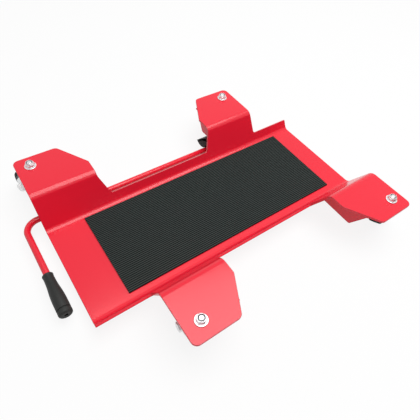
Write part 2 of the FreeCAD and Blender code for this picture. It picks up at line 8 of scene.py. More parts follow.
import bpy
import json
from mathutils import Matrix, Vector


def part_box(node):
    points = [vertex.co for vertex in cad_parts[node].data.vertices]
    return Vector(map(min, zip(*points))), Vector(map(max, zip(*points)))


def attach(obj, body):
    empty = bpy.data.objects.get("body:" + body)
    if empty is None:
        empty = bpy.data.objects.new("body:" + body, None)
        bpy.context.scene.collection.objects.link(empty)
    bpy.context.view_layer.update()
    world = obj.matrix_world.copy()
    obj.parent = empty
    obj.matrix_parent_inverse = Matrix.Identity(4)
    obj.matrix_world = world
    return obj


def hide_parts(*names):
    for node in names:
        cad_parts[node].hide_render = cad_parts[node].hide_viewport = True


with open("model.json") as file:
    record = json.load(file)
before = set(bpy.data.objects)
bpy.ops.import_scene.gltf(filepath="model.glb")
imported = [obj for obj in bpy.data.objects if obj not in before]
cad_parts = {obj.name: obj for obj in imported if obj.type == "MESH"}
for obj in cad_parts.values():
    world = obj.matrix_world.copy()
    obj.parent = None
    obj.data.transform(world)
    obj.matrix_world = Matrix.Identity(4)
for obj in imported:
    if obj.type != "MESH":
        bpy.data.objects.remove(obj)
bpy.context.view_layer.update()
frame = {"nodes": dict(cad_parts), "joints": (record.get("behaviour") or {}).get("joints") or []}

import json
import math

import bmesh
import bpy
from mathutils import Matrix, Vector

bpy.ops.object.select_all(action="DESELECT")

# %% [markdown]
# ## Places
# A piece fits only if it takes its place from the model that it stands on. The deck's middle, the heights
# and the caster axes are read from the frame, so nothing here is fitted by eye.

# %% Read the main places
MM = 0.001
TABS = ("rear_left", "rear_right", "front_left", "front_right")

deck_low, deck_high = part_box("deck_plate")
mat_low, mat_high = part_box("rubber_mat")
deck_top = mat_low.z
tab_top = deck_high.z
deck_centre = Vector(((deck_low.x + deck_high.x) / 2, (deck_low.y + deck_high.y) / 2, deck_top))
joints = {joint["name"]: joint for joint in frame["joints"]}
caster_place = {}
for tab in TABS:
    swivel = Vector(joints["swivel_turn_" + tab]["pos_m"])
    axle = Vector(joints["wheel_spin_" + tab]["axis"])
    heading = math.atan2(axle.y, axle.x)
    caster_place[tab] = Matrix.Translation((swivel.x, swivel.y, 0)) @ Matrix.Rotation(heading, 4, "Z")
    print(tab, "caster trails", round(math.degrees(heading)), "degrees from the rear")
wheel_middle = Vector(joints["wheel_spin_rear_left"]["pos_m"])
trail = (wheel_middle.xy - Vector(joints["swivel_turn_rear_left"]["pos_m"]).xy).length
print("deck centre", [round(value, 4) for value in deck_centre], "caster trail", round(trail, 4))

# %% [markdown]
# ## Camera
# The picture looks down on the left front corner of the deck. A camera could be aimed with a track
# constraint, but the photograph is rolled a little, so the three directions of the view are written out.

# %% Camera at the photograph's viewing angle
CAMERA_FROM_DECK = Vector((-0.26383, -0.30841, 0.49157))
VIEW_RIGHT = Vector((0.81856208, -0.56903187, 0.07847829))
VIEW_UP = Vector((0.40703779, 0.67100236, 0.61973871))
VIEW_BACK = Vector((-0.40531019, -0.47535098, 0.78087457))
LENS = 32.179
SENSOR_WIDTH = 36
NEAREST_SEEN = 0.01

camera = bpy.data.objects.new("camera", bpy.data.cameras.new("camera"))
bpy.context.scene.collection.objects.link(camera)
camera.data.lens = LENS
camera.data.sensor_width = SENSOR_WIDTH
camera.data.clip_start = NEAREST_SEEN
turn = Matrix((VIEW_RIGHT, VIEW_UP, VIEW_BACK)).transposed().to_4x4()
camera.matrix_world = Matrix.Translation(deck_centre + CAMERA_FROM_DECK) @ turn
bpy.context.scene.camera = camera
bpy.context.scene.view_settings.view_transform = "Standard"
print("camera at", [round(value, 3) for value in camera.matrix_world.translation])

# %% [markdown]
# ## Light and floor
# The glossy paint shows what is around it: a pale front tab, pale bands along the bends, and deep red walls.
# So one large soft light hangs above the front of the deck, where the bends and the front tab mirror it and
# the deck does not. A dark card stands low behind the camera, where the walls and the chamfers of the nuts
# mirror it. The floor and the room are white to the camera and in reflections, and the floor keeps a part of
# its own shading, so that the dolly still casts a soft shadow.

# %% Overhead soft light
SOFTBOX_SIZE = 1.7
SOFTBOX_FROM_DECK = Vector((0.44, -0.14, 2.0))
SOFTBOX_TURN = math.radians(-13)
SOFTBOX_POWER = 41.0

softbox = bpy.data.objects.new("softbox", bpy.data.lights.new("softbox", "AREA"))
bpy.context.scene.collection.objects.link(softbox)
softbox.data.size = SOFTBOX_SIZE
softbox.data.energy = SOFTBOX_POWER
softbox.location = deck_centre + SOFTBOX_FROM_DECK
softbox.rotation_euler = (0, 0, SOFTBOX_TURN)
softbox.visible_camera = False
print("softbox radiance", round(SOFTBOX_POWER / math.pi / SOFTBOX_SIZE ** 2, 2))

# %% Dark card behind the camera
CARD_WIDTH = 3.6
CARD_HEIGHT = 1.2
CARD_FROM_DECK = 1.4
CARD_SHADE = 0.01

bpy.ops.mesh.primitive_plane_add(size=1)
card = bpy.context.active_object
card.name = "dark_card"
card.scale = (CARD_WIDTH, CARD_HEIGHT, 1)
card.rotation_euler = (math.radians(90), 0, 0)
card.location = (deck_centre.x, deck_centre.y - CARD_FROM_DECK, CARD_HEIGHT / 2)
card.visible_camera = False
card_paint = bpy.data.materials.new("card_black")
card_paint.use_nodes = True
card_shader = card_paint.node_tree.nodes["Principled BSDF"]
card_shader.inputs["Base Color"].default_value = (CARD_SHADE, CARD_SHADE, CARD_SHADE, 1)
card_shader.inputs["Specular IOR Level"].default_value = 0
card.data.materials.append(card_paint)
print("card", CARD_WIDTH, "by", CARD_HEIGHT, "m")

# %% White room
ROOM_LIGHT = 0.30
WHITE = (1, 1, 1, 1)


def seen_directly(nodes, links):
    """1 for rays from the camera, a reflection or glass, and 0 for light that lands on the piece."""
    path = nodes.new("ShaderNodeLightPath")
    mirrored = nodes.new("ShaderNodeMath")
    mirrored.operation = "MAXIMUM"
    through = nodes.new("ShaderNodeMath")
    through.operation = "MAXIMUM"
    links.new(path.outputs["Is Camera Ray"], mirrored.inputs[0])
    links.new(path.outputs["Is Glossy Ray"], mirrored.inputs[1])
    links.new(mirrored.outputs[0], through.inputs[0])
    links.new(path.outputs["Is Transmission Ray"], through.inputs[1])
    return through.outputs[0]


world = bpy.data.worlds.new("white_room")
bpy.context.scene.world = world
world.use_nodes = True
nodes, links = world.node_tree.nodes, world.node_tree.links
nodes.clear()
lighting = nodes.new("ShaderNodeBackground")
lighting.inputs["Color"].default_value = WHITE
lighting.inputs["Strength"].default_value = ROOM_LIGHT
backdrop = nodes.new("ShaderNodeBackground")
backdrop.inputs["Color"].default_value = WHITE
backdrop.inputs["Strength"].default_value = 1.0
mix = nodes.new("ShaderNodeMixShader")
links.new(seen_directly(nodes, links), mix.inputs["Fac"])
links.new(lighting.outputs[0], mix.inputs[1])
links.new(backdrop.outputs[0], mix.inputs[2])
links.new(mix.outputs[0], nodes.new("ShaderNodeOutputWorld").inputs["Surface"])
print("room light", ROOM_LIGHT)

# %% Pale floor, see-through from below
FLOOR_SIZE = 8.0
FLOOR_SHADE = 0.12
FLOOR_PALENESS = 0.92
FLOOR_DROP = 0.0002

bpy.ops.mesh.primitive_plane_add(size=FLOOR_SIZE, location=(0, 0, -FLOOR_DROP))
floor = bpy.context.active_object
floor.name = "floor"
floor_paint = bpy.data.materials.new("floor_white")
floor_paint.use_nodes = True
nodes, links = floor_paint.node_tree.nodes, floor_paint.node_tree.links
nodes.clear()
lit = nodes.new("ShaderNodeBsdfDiffuse")
lit.inputs["Color"].default_value = (FLOOR_PALENESS, FLOOR_PALENESS, FLOOR_PALENESS, 1)
glow = nodes.new("ShaderNodeEmission")
glow.inputs["Strength"].default_value = 1.0
share = nodes.new("ShaderNodeMath")
share.operation = "MULTIPLY"
share.inputs[1].default_value = 1 - FLOOR_SHADE
links.new(seen_directly(nodes, links), share.inputs[0])
white = nodes.new("ShaderNodeMixShader")
links.new(share.outputs[0], white.inputs["Fac"])
links.new(lit.outputs[0], white.inputs[1])
links.new(glow.outputs[0], white.inputs[2])
side = nodes.new("ShaderNodeNewGeometry")
clear = nodes.new("ShaderNodeBsdfTransparent")
one_way = nodes.new("ShaderNodeMixShader")
links.new(side.outputs["Backfacing"], one_way.inputs["Fac"])
links.new(white.outputs[0], one_way.inputs[1])
links.new(clear.outputs[0], one_way.inputs[2])
links.new(one_way.outputs[0], nodes.new("ShaderNodeOutputMaterial").inputs["Surface"])
floor.data.materials.append(floor_paint)
print("floor", FLOOR_SIZE, "m")

# %% [markdown]
# ## Finishes
# Powder coat, zinc, rubber and moulded plastic differ in colour and gloss, but all of them have a fine
# texture, slow blotches and a change along their edges. That shared part is one node group, with the
# scales as inputs, and each material mixes its three masks in its own way. The bend of the surface finds
# the edges of small pieces. It fails on large flat faces, so there a face attribute marks the edges.

# %% Node group: fine grain, broad blotches and edges
EDGE_MASK = "edge_mask"
FLAT_BEND = 0.5


def make_surface_marks():
    """Node group with three masks: fine grain, broad blotches, and edges or marked faces."""
    group = bpy.data.node_groups.new("surface_marks", "ShaderNodeTree")
    for label, value in (("Fine Scale", 900.0), ("Broad Scale", 20.0), ("Edge Width", 0.06)):
        socket = group.interface.new_socket(label, in_out="INPUT", socket_type="NodeSocketFloat")
        socket.default_value = value
    for label in ("Fine", "Broad", "Edge"):
        group.interface.new_socket(label, in_out="OUTPUT", socket_type="NodeSocketFloat")
    nodes, links = group.nodes, group.links
    given = nodes.new("NodeGroupInput")
    result = nodes.new("NodeGroupOutput")
    place = nodes.new("ShaderNodeTexCoord")
    for label, detail in (("Fine", 2.0), ("Broad", 4.0)):
        noise = nodes.new("ShaderNodeTexNoise")
        noise.inputs["Detail"].default_value = detail
        links.new(place.outputs["Object"], noise.inputs["Vector"])
        links.new(given.outputs[label + " Scale"], noise.inputs["Scale"])
        links.new(noise.outputs["Fac"], result.inputs[label])
    bend = nodes.new("ShaderNodeNewGeometry")
    end = nodes.new("ShaderNodeMath")
    end.inputs[0].default_value = FLAT_BEND
    ramp = nodes.new("ShaderNodeMapRange")
    ramp.inputs["From Min"].default_value = FLAT_BEND
    links.new(given.outputs["Edge Width"], end.inputs[1])
    links.new(bend.outputs["Pointiness"], ramp.inputs["Value"])
    links.new(end.outputs[0], ramp.inputs["From Max"])
    marked = nodes.new("ShaderNodeAttribute")
    marked.attribute_name = EDGE_MASK
    either = nodes.new("ShaderNodeMath")
    either.operation = "MAXIMUM"
    links.new(ramp.outputs["Result"], either.inputs[0])
    links.new(marked.outputs["Fac"], either.inputs[1])
    links.new(either.outputs[0], result.inputs["Edge"])
    return group


surface_marks = make_surface_marks()
print("group", surface_marks.name, [item.name for item in surface_marks.interface.items_tree])


# %% One way to build every finish
EDGE_DULLNESS = 0.25
BLOTCH_LOW = 0.3
BLOTCH_HIGH = 0.7


def finish(name, colours, edge_colour, roughness, scales, relief, **settings):
    """Material from two blotch colours, an edge colour, a roughness range and a grain depth in metres."""
    material = bpy.data.materials.new(name)
    material.use_nodes = True
    nodes, links = material.node_tree.nodes, material.node_tree.links
    shader = nodes["Principled BSDF"]
    marks = nodes.new("ShaderNodeGroup")
    marks.node_tree = surface_marks
    for socket, value in zip(marks.inputs, scales):
        socket.default_value = value
    blotch = nodes.new("ShaderNodeMix")
    blotch.data_type = "RGBA"
    edge = nodes.new("ShaderNodeMix")
    edge.data_type = "RGBA"
    colour_sockets = [socket for socket in blotch.inputs if socket.type == "RGBA"]
    for socket, colour in zip(colour_sockets, colours):
        socket.default_value = (*colour, 1)
    edge_sockets = [socket for socket in edge.inputs if socket.type == "RGBA"]
    edge_sockets[1].default_value = (*edge_colour, 1)
    links.new(marks.outputs["Broad"], blotch.inputs["Factor"])
    links.new([out for out in blotch.outputs if out.type == "RGBA"][0], edge_sockets[0])
    links.new(marks.outputs["Edge"], edge.inputs["Factor"])
    links.new([out for out in edge.outputs if out.type == "RGBA"][0], shader.inputs["Base Color"])
    gloss = nodes.new("ShaderNodeMapRange")
    gloss.inputs["From Min"].default_value = BLOTCH_LOW
    gloss.inputs["From Max"].default_value = BLOTCH_HIGH
    gloss.inputs["To Min"].default_value = roughness[0]
    gloss.inputs["To Max"].default_value = roughness[1]
    links.new(marks.outputs["Broad"], gloss.inputs["Value"])
    dull = nodes.new("ShaderNodeMath")
    dull.operation = "MULTIPLY_ADD"
    dull.inputs[1].default_value = EDGE_DULLNESS
    links.new(marks.outputs["Edge"], dull.inputs[0])
    links.new(gloss.outputs["Result"], dull.inputs[2])
    links.new(dull.outputs[0], shader.inputs["Roughness"])
    bump = nodes.new("ShaderNodeBump")
    bump.inputs["Distance"].default_value = relief
    links.new(marks.outputs["Fine"], bump.inputs["Height"])
    links.new(bump.outputs["Normal"], shader.inputs["Normal"])
    for label, value in settings.items():
        shader.inputs[label.replace("_", " ")].default_value = value
    print("finish", name)
    return material


# %% [markdown]
# The red is a glossy powder coat over steel: a slightly wavy film, darker along cut edges, where the darker
# red is painted shade. The bright parts are zinc plated, with a soft grey blotch. Rubber and plastic are
# nearly black, and differ in their gloss and grain. On the mat the marked faces are the tops of the ribs:
# their lighter grey is painted light, and the darker grooves are painted shade. A very large edge width turns
# the bend of the surface off, where only the marked faces should count.

# %% The eight finishes
FLAT_WIDTH = 50.0

# The red coat's darker edge colour is painted shade along the cut edges.
red_coat = finish(
    "red_powder_coat", ((0.85, 0.013, 0.035), (0.87, 0.015, 0.039)), (0.52, 0.008, 0.024),
    (0.20, 0.24), (520.0, 6.0, FLAT_WIDTH), 0.000002,
    Specular_IOR_Level=0.34, Coat_Weight=0.15, Coat_Roughness=0.1)
# The mat's lighter edge colour is painted light on the rib tops, and the grooves stay darker as painted
# shade.
mat_rubber = finish(
    "ribbed_rubber", ((0.003, 0.006, 0.005), (0.005, 0.008, 0.007)), (0.046, 0.055, 0.052),
    (0.45, 0.55), (1400.0, 30.0, FLAT_WIDTH), 0.00004, Specular_IOR_Level=0.1)
zinc = finish(
    "zinc_plating", ((0.60, 0.61, 0.63), (0.72, 0.72, 0.73)), (0.84, 0.84, 0.84),
    (0.16, 0.28), (700.0, 60.0), 0.000006, Metallic=1.0)
ball_steel = finish(
    "ball_steel", ((0.66, 0.66, 0.68), (0.72, 0.72, 0.73)), (0.75, 0.75, 0.76),
    (0.06, 0.14), (900.0, 80.0), 0.000003, Metallic=1.0)
grip_plastic = finish(
    "grip_plastic", ((0.012, 0.013, 0.012), (0.018, 0.019, 0.018)), (0.040, 0.041, 0.039),
    (0.40, 0.52), (1500.0, 40.0), 0.00003, Specular_IOR_Level=0.25)
shoe_rubber = finish(
    "shoe_rubber", ((0.010, 0.009, 0.009), (0.018, 0.017, 0.016)), (0.040, 0.038, 0.036),
    (0.50, 0.68), (1100.0, 45.0), 0.00004, Specular_IOR_Level=0.2)
hub_plastic = finish(
    "hub_plastic", ((0.030, 0.031, 0.034), (0.044, 0.045, 0.048)), (0.070, 0.071, 0.075),
    (0.38, 0.50), (1300.0, 50.0), 0.00003)
tyre_rubber = finish(
    "tyre_rubber", ((0.012, 0.012, 0.012), (0.022, 0.022, 0.021)), (0.040, 0.039, 0.038),
    (0.55, 0.75), (1200.0, 60.0), 0.00005, Specular_IOR_Level=0.2)

# %% [markdown]
# ## Tools for shaping
# Four helpers do the handwork. One selects one object, and one selects the vertices that pass a test. One
# draws a line by extruding a vertex from corner to corner, and rounds the corners with a vertex bevel. One
# spins such a line into a turned piece, as a lathe does. A profile is a list of (radius, height), and a
# third number rounds that corner.

# %% Select, draw and turn
ROUND_STEPS = 4
SAME_PLACE = 1e-6


def only(piece):
    """Select one object and make it the active one."""
    bpy.ops.object.select_all(action="DESELECT")
    piece.select_set(True)
    bpy.context.view_layer.objects.active = piece


def pick(piece, test):
    """In edit mode, select the vertices whose place passes a test."""
    bpy.ops.mesh.select_mode(type="VERT")
    bpy.ops.mesh.select_all(action="DESELECT")
    mesh = bmesh.from_edit_mesh(piece.data)
    for vertex in mesh.verts:
        vertex.select_set(test(vertex.co))
    mesh.select_flush_mode()
    bmesh.update_edit_mesh(piece.data)


def drawn_line(name, points, closed):
    """Line in the XZ plane, left in edit mode and selected."""
    bpy.ops.object.select_all(action="DESELECT")
    bpy.ops.mesh.primitive_plane_add(size=MM, location=(points[0][0], 0, points[0][1]))
    piece = bpy.context.active_object
    piece.name = name
    bpy.ops.object.transform_apply(location=True)
    bpy.ops.object.mode_set(mode="EDIT")
    bpy.ops.mesh.select_all(action="SELECT")
    bpy.ops.mesh.merge(type="CENTER")
    for before, after in zip(points, points[1:]):
        step = (after[0] - before[0], 0, after[1] - before[1])
        bpy.ops.mesh.extrude_vertices_move(TRANSFORM_OT_translate={"value": step})

    def at(co, point):
        return math.hypot(co.x - point[0], co.z - point[1]) < SAME_PLACE

    if closed:
        pick(piece, lambda co: at(co, points[0]) or at(co, points[-1]))
        bpy.ops.mesh.edge_face_add()
    for size in sorted({point[2] for point in points if len(point) > 2}):
        rounded = [point for point in points if len(point) > 2 and point[2] == size]
        pick(piece, lambda co: any(at(co, point) for point in rounded))
        bpy.ops.mesh.bevel(offset=size, segments=ROUND_STEPS, affect="VERTICES")
    bpy.ops.mesh.select_all(action="SELECT")
    return piece


def turned(name, points, closed=False, sides=64):
    """Turned piece on the Z axis. A closed line gives a ring, and an open one starts and ends on the axis."""
    piece = drawn_line(name, points, closed)
    bpy.ops.mesh.spin(steps=sides, angle=2 * math.pi, center=(0, 0, 0), axis=(0, 0, 1))
    bpy.ops.mesh.select_all(action="SELECT")
    bpy.ops.mesh.remove_doubles(threshold=SAME_PLACE)
    bpy.ops.mesh.normals_make_consistent(inside=False)
    bpy.ops.object.mode_set(mode="OBJECT")
    return piece


# %% [markdown]
# Each finished piece needs the same last steps: its turn and place go into its mesh, its curved faces are
# smoothed, it is given its material and the body that it rides on, and the CAD nodes that it stands for are
# hidden.

# %% Modifiers, placing, copying and dressing
SMOOTH_ANGLE = math.radians(32)


def apply_modifier(piece, kind, **settings):
    """Add a modifier, set it and apply it."""
    only(piece)
    bpy.ops.object.modifier_add(type=kind)
    modifier = piece.modifiers[-1]
    for label, value in settings.items():
        setattr(modifier, label, value)
    bpy.ops.object.modifier_apply(modifier=modifier.name)


def settle(piece, matrix):
    """Move a piece and put its new place into its mesh."""
    piece.matrix_world = matrix
    only(piece)
    bpy.ops.object.transform_apply(location=True, rotation=True, scale=True)


def copied(piece, name, matrix):
    """Copy with its own mesh, moved from where the pattern stands."""
    copy = bpy.data.objects.new(name, piece.data.copy())
    bpy.context.scene.collection.objects.link(copy)
    settle(copy, matrix)
    return copy


def dress(piece, body, material, slot, *nodes):
    """Smooth a piece, give it its finish and its body, and hide the CAD nodes it stands for. The slot is not
    used.
    """
    only(piece)
    bpy.ops.object.shade_smooth_by_angle(angle=SMOOTH_ANGLE)
    piece.data.materials.clear()
    piece.data.materials.append(material)
    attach(piece, body)
    if nodes:
        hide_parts(*nodes)


def discard(*pieces):
    """Remove patterns and cutters that have done their work."""
    for piece in pieces:
        bpy.data.objects.remove(piece)


# %% [markdown]
# ## Pressed and cut sheet
# The deck, gussets, brackets, arms and forks are plate with sheared edges. Paint and plating round such an
# edge, and the thin line along it is what makes sheet look real. On the red plates that line is also painted
# shade: the faces of the rounded edge are painted a darker red. Their CAD shape is right, so a copy of the
# CAD mesh is merged, its flat faces are joined, and a bevel rounds the sharp edges. The bevel puts its new
# faces in a second material slot, which is how they are found and marked. Weighted normals keep the large
# faces flat.

# %% Rounded copies of the plates
FLAT_ANGLE = math.radians(1)
SHARP_ANGLE = math.radians(33)
DECK_EDGE = 0.8 * MM
GUSSET_EDGE = 0.7 * MM
BRACKET_EDGE = 0.6 * MM
FORK_EDGE = 0.5 * MM


def mark_faces(piece, test):
    """Face attribute that the finishes read: 1 where a face passes a test, and 0 elsewhere."""
    mask = piece.data.attributes.new(EDGE_MASK, "FLOAT", "FACE")
    for face in piece.data.polygons:
        mask.data[face.index].value = float(test(face))


def rounded_plate(node, name, edge):
    """Copy of a CAD node with its sharp edges rounded and marked."""
    piece = copied(frame["nodes"][node], name, Matrix.Identity(4))
    only(piece)
    while len(piece.data.materials) < 2:
        piece.data.materials.append(None)
    bpy.ops.mesh.customdata_custom_splitnormals_clear()
    bpy.ops.object.mode_set(mode="EDIT")
    bpy.ops.mesh.select_all(action="SELECT")
    bpy.ops.mesh.remove_doubles(threshold=SAME_PLACE)
    bpy.ops.mesh.dissolve_limited(angle_limit=FLAT_ANGLE)
    bpy.ops.object.mode_set(mode="OBJECT")
    apply_modifier(
        piece, "BEVEL", width=edge, segments=3, limit_method="ANGLE", angle_limit=SHARP_ANGLE, material=1)
    # On the red plates these marked faces take painted shade: the red coat's darker edge colour.
    mark_faces(piece, lambda face: face.material_index == 1)
    for face in piece.data.polygons:
        face.material_index = 0
    return piece


def flatten(piece):
    """Keep the shading of large faces flat beside their rounded edges."""
    apply_modifier(piece, "WEIGHTED_NORMAL", mode="FACE_AREA", weight=100, keep_sharp=True)


PLATES = [("deck_plate", "deck_sheet", "deck", red_coat, "red_paint", DECK_EDGE)]
for tab in TABS:
    PLATES.append(("gusset_" + tab, "tab_gusset_" + tab, "deck", red_coat, "red_paint", GUSSET_EDGE))
    PLATES.append(("fork_" + tab, "swivel_fork_" + tab, "swivel_" + tab, zinc, "zinc_plate", FORK_EDGE))
for hand in ("left", "right"):
    PLATES.append((
        "shaft_bracket_" + hand, "bar_bracket_" + hand, "deck", red_coat, "red_paint", BRACKET_EDGE))
    PLATES.append((
        "brake_arm_" + hand, "foot_arm_" + hand, "brake_lever", red_coat, "red_paint", BRACKET_EDGE))
for node, name, body, material, slot, edge in PLATES:
    piece = rounded_plate(node, name, edge)
    dress(piece, body, material, slot, node)
    flatten(piece)
    print(name, len(piece.data.polygons), "faces")

# %% [markdown]
# ## Ribbed mat
# The mat is cut from a roll of ribbed rubber, with fine ribs along the deck. A plane with a striped bump
# would be quick, but the ribs catch the light at the mat's ends, so the section of the whole mat is drawn
# with every rib rounded, and then extruded to its length.

# %% Draw the mat's section and extrude it
RIB_COUNT = 47
RIB_TOP_SHARE = 0.46
RIB_FOOT_SHARE = 0.74
RIB_HEIGHT = 0.8 * MM
RIB_ROUND = 0.28 * MM
RIB_TOP_SLOPE = 0.8

mat_width = mat_high.y - mat_low.y
rib_pitch = mat_width / RIB_COUNT
rib_foot = mat_high.z - RIB_HEIGHT
section = [(mat_width / 2, deck_top), (-mat_width / 2, deck_top), (-mat_width / 2, rib_foot)]
for rib in range(RIB_COUNT):
    across = (rib - (RIB_COUNT - 1) / 2) * rib_pitch
    foot_half = rib_pitch * RIB_FOOT_SHARE / 2
    top_half = rib_pitch * RIB_TOP_SHARE / 2
    section.append((across - foot_half, rib_foot))
    section.append((across - top_half, mat_high.z, RIB_ROUND))
    section.append((across + top_half, mat_high.z, RIB_ROUND))
    section.append((across + foot_half, rib_foot))
section.append((mat_width / 2, rib_foot))
mat = drawn_line("mat_ribbed", section, closed=True)
bpy.ops.mesh.edge_face_add()
bpy.ops.mesh.extrude_region_move(TRANSFORM_OT_translate={"value": (0, mat_high.x - mat_low.x, 0)})
bpy.ops.mesh.select_all(action="SELECT")
bpy.ops.mesh.normals_make_consistent(inside=False)
bpy.ops.object.mode_set(mode="OBJECT")
along_deck = Matrix.Rotation(math.radians(-90), 4, "Z")
settle(mat, Matrix.Translation((mat_low.x, (mat_low.y + mat_high.y) / 2, 0)) @ along_deck)
# The marked rib tops take the lighter edge colour as painted light, and the grooves stay darker as painted
# shade.
mark_faces(mat, lambda face: face.center.z > mat_high.z - RIB_ROUND and face.normal.z > RIB_TOP_SLOPE)
dress(mat, "deck", mat_rubber, "mat_rubber", "rubber_mat")
print("mat", RIB_COUNT, "ribs", len(mat.data.polygons), "faces")

# %% [markdown]
# ## Brake bar
# The bar is one round rod: straight along the back of the deck, then bent forward as a lever. A circle is
# extruded along the straight part, spun round the bend and extruded again, as the rod itself is bent.

# %% Extrude, spin and extrude the bar
BAR_BEND = 22 * MM
BAR_SIDES = 32
BEND_STEPS = 20
BAR_CHAMFER = 0.8 * MM

bar_low, bar_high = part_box("brake_shaft")
bar_z = (bar_low.z + bar_high.z) / 2
bar_radius = (bar_high.z - bar_low.z) / 2
bar_y = bar_high.y - bar_radius
lever_x = bar_low.x + bar_radius
bpy.ops.object.select_all(action="DESELECT")
bpy.ops.mesh.primitive_circle_add(
    vertices=BAR_SIDES, radius=bar_radius, location=(bar_high.x, bar_y, bar_z),
    rotation=(0, math.pi / 2, 0), fill_type="NGON")
bar = bpy.context.active_object
bar.name = "brake_bar"
bpy.ops.object.transform_apply(location=True, rotation=True)
bpy.ops.object.mode_set(mode="EDIT")
bpy.ops.mesh.select_all(action="SELECT")
straight = lever_x + BAR_BEND - bar_high.x
bpy.ops.mesh.extrude_region_move(TRANSFORM_OT_translate={"value": (straight, 0, 0)})
bend_centre = (lever_x + BAR_BEND, bar_y - BAR_BEND, bar_z)
bpy.ops.mesh.spin(steps=BEND_STEPS, angle=-math.pi / 2, center=bend_centre, axis=(0, 0, 1))
bpy.ops.mesh.extrude_region_move(TRANSFORM_OT_translate={"value": (0, bar_low.y - bar_y + BAR_BEND, 0)})
bpy.ops.mesh.select_all(action="SELECT")
bpy.ops.mesh.remove_doubles(threshold=SAME_PLACE)
bpy.ops.mesh.normals_make_consistent(inside=False)
bpy.ops.object.mode_set(mode="OBJECT")
apply_modifier(bar, "BEVEL", width=BAR_CHAMFER, segments=2, limit_method="ANGLE", angle_limit=SHARP_ANGLE)
dress(bar, "brake_lever", red_coat, "red_paint", "brake_shaft")
print("bar", [round(value / MM) for value in bar.dimensions])

# %% [markdown]
# ## Grip
# The grip is a soft plastic sleeve moulded in one piece: a slim neck, a fuller body, a ring groove and a
# rounded end with a small air hole. All of that is round, so its profile is drawn once and spun.

# %% Turn the grip
GRIP_END_HOLE = 2.5 * MM
GRIP_HOLE_DEPTH = 3 * MM
GRIP_END_ROUND = 3.4 * MM
GROOVE_START = 7.5 * MM
GROOVE_END = 9.5 * MM
GROOVE_DEPTH = 1.2 * MM
GROOVE_SLOPE = 0.3 * MM
TAPER_START = 32 * MM
TAPER_END = 54 * MM
TAPER_ROUND = 8 * MM
NECK_WALL = 2.5 * MM
LIP_LENGTH = 3 * MM
LIP_SLOPE = 0.6 * MM
LIP_HEIGHT = 0.4 * MM
BORE_END = 8 * MM
PLAY = 0.05 * MM

grip_low, grip_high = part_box("lever_grip")
grip_length = grip_high.y - grip_low.y
grip_body = (grip_high.z - grip_low.z) / 2
grip_neck = bar_radius + NECK_WALL
groove = grip_body - GROOVE_DEPTH
lip = grip_neck + LIP_HEIGHT
lip_start = grip_length - LIP_LENGTH
bore = bar_radius + PLAY
profile = [
    (0, GRIP_HOLE_DEPTH), (GRIP_END_HOLE, GRIP_HOLE_DEPTH), (GRIP_END_HOLE, 0, 0.7 * MM),
    (grip_body, 0, GRIP_END_ROUND), (grip_body, GROOVE_START, 0.4 * MM),
    (groove, GROOVE_START + GROOVE_SLOPE, 0.3 * MM), (groove, GROOVE_END - GROOVE_SLOPE, 0.3 * MM),
    (grip_body, GROOVE_END, 0.4 * MM), (grip_body, TAPER_START, TAPER_ROUND),
    (grip_neck, TAPER_END, TAPER_ROUND), (grip_neck, lip_start, 0.6 * MM),
    (lip, lip_start + LIP_SLOPE, 0.5 * MM), (lip, grip_length, 1.2 * MM),
    (bore, grip_length), (bore, BORE_END), (0, BORE_END),
]
grip = turned("bar_grip", profile)
settle(grip, Matrix.Translation((lever_x, grip_low.y, bar_z)) @ Matrix.Rotation(math.radians(-90), 4, "X"))
dress(grip, "brake_lever", grip_plastic, "grip_plastic", "lever_grip")
print("grip", [round(value / MM, 1) for value in grip.dimensions])

# %% [markdown]
# ## Brake feet
# A rubber half-round sits on the end of each arm, and its flat sole meets the floor when the lever is swung
# over. A cylinder is bisected along its axis, the cut is filled, and bevels round the corners as a mould
# does.

# %% Halve a cylinder for the foot
SHOE_RADIUS = 16.7 * MM
SHOE_CORNER = 4 * MM
SHOE_EDGE = 1.0 * MM
FOOT_REST_ANGLE = math.radians(50)
FOOT_SHARP = math.radians(50)
FOOT_SIDES = 72
FOOT_STEPS = 6

shoe_low, shoe_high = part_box("brake_shoe_right")
shoe_width = shoe_high.x - shoe_low.x
bpy.ops.object.select_all(action="DESELECT")
bpy.ops.mesh.primitive_cylinder_add(
    vertices=FOOT_SIDES, radius=SHOE_RADIUS, depth=shoe_width, location=(0, bar_z, 0),
    rotation=(0, math.pi / 2, 0))
foot = bpy.context.active_object
bpy.ops.object.transform_apply(location=True, rotation=True)
bpy.ops.object.mode_set(mode="EDIT")
bpy.ops.mesh.select_all(action="SELECT")
bpy.ops.mesh.bisect(plane_co=(0, bar_z, 0), plane_no=(0, 1, 0), use_fill=True, clear_outer=True)
pick(foot, lambda co: abs(co.y - bar_z) < SAME_PLACE and abs(abs(co.z) - SHOE_RADIUS) < MM)
bpy.ops.mesh.bevel(offset=SHOE_CORNER, segments=FOOT_STEPS, affect="EDGES")
bpy.ops.mesh.select_all(action="SELECT")
bpy.ops.mesh.normals_make_consistent(inside=False)
bpy.ops.object.mode_set(mode="OBJECT")
apply_modifier(foot, "BEVEL", width=SHOE_EDGE, segments=3, limit_method="ANGLE", angle_limit=FOOT_SHARP)
bpy.ops.object.mode_set(mode="EDIT")
bpy.ops.mesh.select_all(action="SELECT")
bpy.ops.mesh.remove_doubles(threshold=SAME_PLACE)
bpy.ops.mesh.normals_make_consistent(inside=False)
bpy.ops.object.mode_set(mode="OBJECT")
swing = Matrix.Translation((0, bar_y, bar_z)) @ Matrix.Rotation(FOOT_REST_ANGLE, 4, "X")
for hand in ("left", "right"):
    low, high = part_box("brake_shoe_" + hand)
    shoe = copied(foot, "foot_shoe_" + hand, Matrix.Translation(((low.x + high.x) / 2, 0, 0)) @ swing)
    dress(shoe, "brake_lever", shoe_rubber, "shoe_rubber", "brake_shoe_" + hand)
    flatten(shoe)
discard(foot)
print("foot", len(shoe.data.polygons), "faces")

